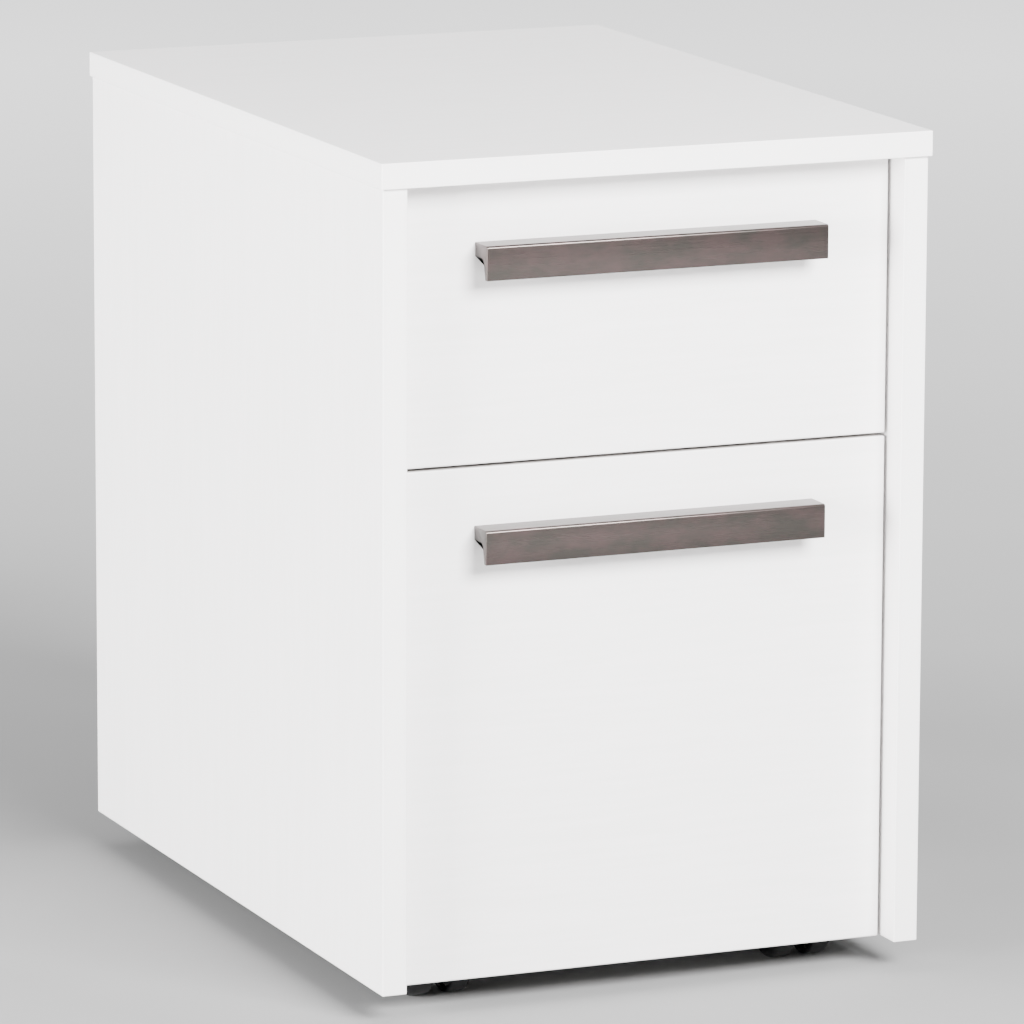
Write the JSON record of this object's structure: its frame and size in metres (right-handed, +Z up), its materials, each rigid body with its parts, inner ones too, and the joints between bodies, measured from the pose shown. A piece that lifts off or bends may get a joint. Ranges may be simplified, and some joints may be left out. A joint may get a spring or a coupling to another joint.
{
  "type": "mobile drawer pedestal",
  "caption": "White board filing pedestal on swivel castors, with a shallow box drawer over a deep file drawer, each on telescopic runners with a bar handle.",
  "frame": {"origin": "on the floor, under the middle of the whole object's box", "axes": "+X to the right seen from the front, +Y to the back, +Z up; the drawers open towards -Y"},
  "size_m": [0.412, 0.582, 0.601],
  "materials": {
    "white_board": "white melamine-faced particle board, fine embossed grain",
    "drawer_board": "plain white melamine-faced board",
    "base_board": "thin white-faced hardboard",
    "handle_metal": "satin brushed dark nickel",
    "runner_steel": "zinc-plated rolled steel",
    "zinc": "zinc-plated",
    "beech": "fluted beech",
    "rail_aluminium": "anodised extrusion",
    "castor_plastic": "moulded black nylon",
    "wheel_plastic": "polished black nylon",
    "castor_steel": "zinc-plated steel"
  },
  "bodies": {
    "carcass": {"top_panel": "white_board", "bottom_panel": "white_board", "back_panel": "white_board", "left_side_panel": "white_board", "right_side_panel": "white_board", "cam_bolts": "zinc", "cam_locks": "zinc", "wood_dowels": "beech", "cabinet_runner_screws": "zinc", "castor_plates": "castor_steel", "castor_screws": "zinc", "upper_left_cabinet_runner": "runner_steel", "upper_right_cabinet_runner": "runner_steel", "lower_left_cabinet_runner": "runner_steel", "lower_right_cabinet_runner": "runner_steel"},
    "upper_drawer": {"upper_drawer_front": "white_board", "upper_drawer_back": "drawer_board", "upper_drawer_base": "base_board", "upper_drawer_left_side": "drawer_board", "upper_drawer_right_side": "drawer_board", "upper_handle": "handle_metal", "upper_handle_screws": "zinc", "upper_drawer_cam_bolts": "zinc", "upper_drawer_cam_locks": "zinc", "upper_drawer_runner_screws": "zinc", "upper_left_drawer_runner": "runner_steel", "upper_right_drawer_runner": "runner_steel"},
    "upper_middle_runners": {"upper_left_middle_runner": "runner_steel", "upper_right_middle_runner": "runner_steel"},
    "lower_drawer": {"lower_drawer_front": "white_board", "lower_drawer_back": "drawer_board", "lower_drawer_base": "base_board", "lower_drawer_left_side": "drawer_board", "lower_drawer_right_side": "drawer_board", "lower_handle": "handle_metal", "lower_handle_screws": "zinc", "lower_drawer_cam_bolts": "zinc", "lower_drawer_cam_locks": "zinc", "lower_drawer_runner_screws": "zinc", "lower_left_drawer_runner": "runner_steel", "lower_right_drawer_runner": "runner_steel", "file_rails": "rail_aluminium"},
    "lower_middle_runners": {"lower_left_middle_runner": "runner_steel", "lower_right_middle_runner": "runner_steel"},
    "front_left_castor": {"front_left_castor_body": "castor_plastic", "front_left_castor_axle": "castor_steel"},
    "front_left_castor_left_wheel": {"front_left_castor_left_wheel": "wheel_plastic"},
    "front_left_castor_right_wheel": {"front_left_castor_right_wheel": "wheel_plastic"},
    "front_right_castor": {"front_right_castor_body": "castor_plastic", "front_right_castor_axle": "castor_steel"},
    "front_right_castor_left_wheel": {"front_right_castor_left_wheel": "wheel_plastic"},
    "front_right_castor_right_wheel": {"front_right_castor_right_wheel": "wheel_plastic"},
    "back_left_castor": {"back_left_castor_body": "castor_plastic", "back_left_castor_axle": "castor_steel"},
    "back_left_castor_left_wheel": {"back_left_castor_left_wheel": "wheel_plastic"},
    "back_left_castor_right_wheel": {"back_left_castor_right_wheel": "wheel_plastic"},
    "back_right_castor": {"back_right_castor_body": "castor_plastic", "back_right_castor_axle": "castor_steel"},
    "back_right_castor_left_wheel": {"back_right_castor_left_wheel": "wheel_plastic"},
    "back_right_castor_right_wheel": {"back_right_castor_right_wheel": "wheel_plastic"}
  },
  "joints": [
    {"name": "upper_drawer_slide", "type": "slide", "parent": "carcass", "child": "upper_drawer", "axis": [0, -1, 0], "range_m": [0, 0.48]},
    {"name": "upper_middle_slide", "type": "slide", "parent": "carcass", "child": "upper_middle_runners", "axis": [0, -1, 0], "range_m": [0, 0.24]},
    {"name": "lower_drawer_slide", "type": "slide", "parent": "carcass", "child": "lower_drawer", "axis": [0, -1, 0], "range_m": [0, 0.48]},
    {"name": "lower_middle_slide", "type": "slide", "parent": "carcass", "child": "lower_middle_runners", "axis": [0, -1, 0], "range_m": [0, 0.24]},
    {"name": "front_left_castor_swivel", "type": "hinge", "parent": "carcass", "child": "front_left_castor", "pos_m": [-0.13887, -0.20207, 0.05], "axis": [0, 0, 1], "continuous": true},
    {"name": "front_left_castor_left_wheel_spin", "type": "hinge", "parent": "front_left_castor", "child": "front_left_castor_left_wheel", "pos_m": [-0.13887, -0.21707, 0.025], "axis": [1, 0, 0], "continuous": true},
    {"name": "front_left_castor_right_wheel_spin", "type": "hinge", "parent": "front_left_castor", "child": "front_left_castor_right_wheel", "pos_m": [-0.13887, -0.21707, 0.025], "axis": [1, 0, 0], "continuous": true},
    {"name": "front_right_castor_swivel", "type": "hinge", "parent": "carcass", "child": "front_right_castor", "pos_m": [0.13887, -0.20207, 0.05], "axis": [0, 0, 1], "continuous": true},
    {"name": "front_right_castor_left_wheel_spin", "type": "hinge", "parent": "front_right_castor", "child": "front_right_castor_left_wheel", "pos_m": [0.13887, -0.21707, 0.025], "axis": [1, 0, 0], "continuous": true},
    {"name": "front_right_castor_right_wheel_spin", "type": "hinge", "parent": "front_right_castor", "child": "front_right_castor_right_wheel", "pos_m": [0.13887, -0.21707, 0.025], "axis": [1, 0, 0], "continuous": true},
    {"name": "back_left_castor_swivel", "type": "hinge", "parent": "carcass", "child": "back_left_castor", "pos_m": [-0.13887, 0.22487, 0.05], "axis": [0, 0, 1], "continuous": true},
    {"name": "back_left_castor_left_wheel_spin", "type": "hinge", "parent": "back_left_castor", "child": "back_left_castor_left_wheel", "pos_m": [-0.13887, 0.20987, 0.025], "axis": [1, 0, 0], "continuous": true},
    {"name": "back_left_castor_right_wheel_spin", "type": "hinge", "parent": "back_left_castor", "child": "back_left_castor_right_wheel", "pos_m": [-0.13887, 0.20987, 0.025], "axis": [1, 0, 0], "continuous": true},
    {"name": "back_right_castor_swivel", "type": "hinge", "parent": "carcass", "child": "back_right_castor", "pos_m": [0.13887, 0.22487, 0.05], "axis": [0, 0, 1], "continuous": true},
    {"name": "back_right_castor_left_wheel_spin", "type": "hinge", "parent": "back_right_castor", "child": "back_right_castor_left_wheel", "pos_m": [0.13887, 0.20987, 0.025], "axis": [1, 0, 0], "continuous": true},
    {"name": "back_right_castor_right_wheel_spin", "type": "hinge", "parent": "back_right_castor", "child": "back_right_castor_right_wheel", "pos_m": [0.13887, 0.20987, 0.025], "axis": [1, 0, 0], "continuous": true}
  ],
  "couplings": [
    {"joint": "upper_middle_slide", "follows": "upper_drawer_slide", "ratio": 0.5},
    {"joint": "lower_middle_slide", "follows": "lower_drawer_slide", "ratio": 0.5}
  ]
}
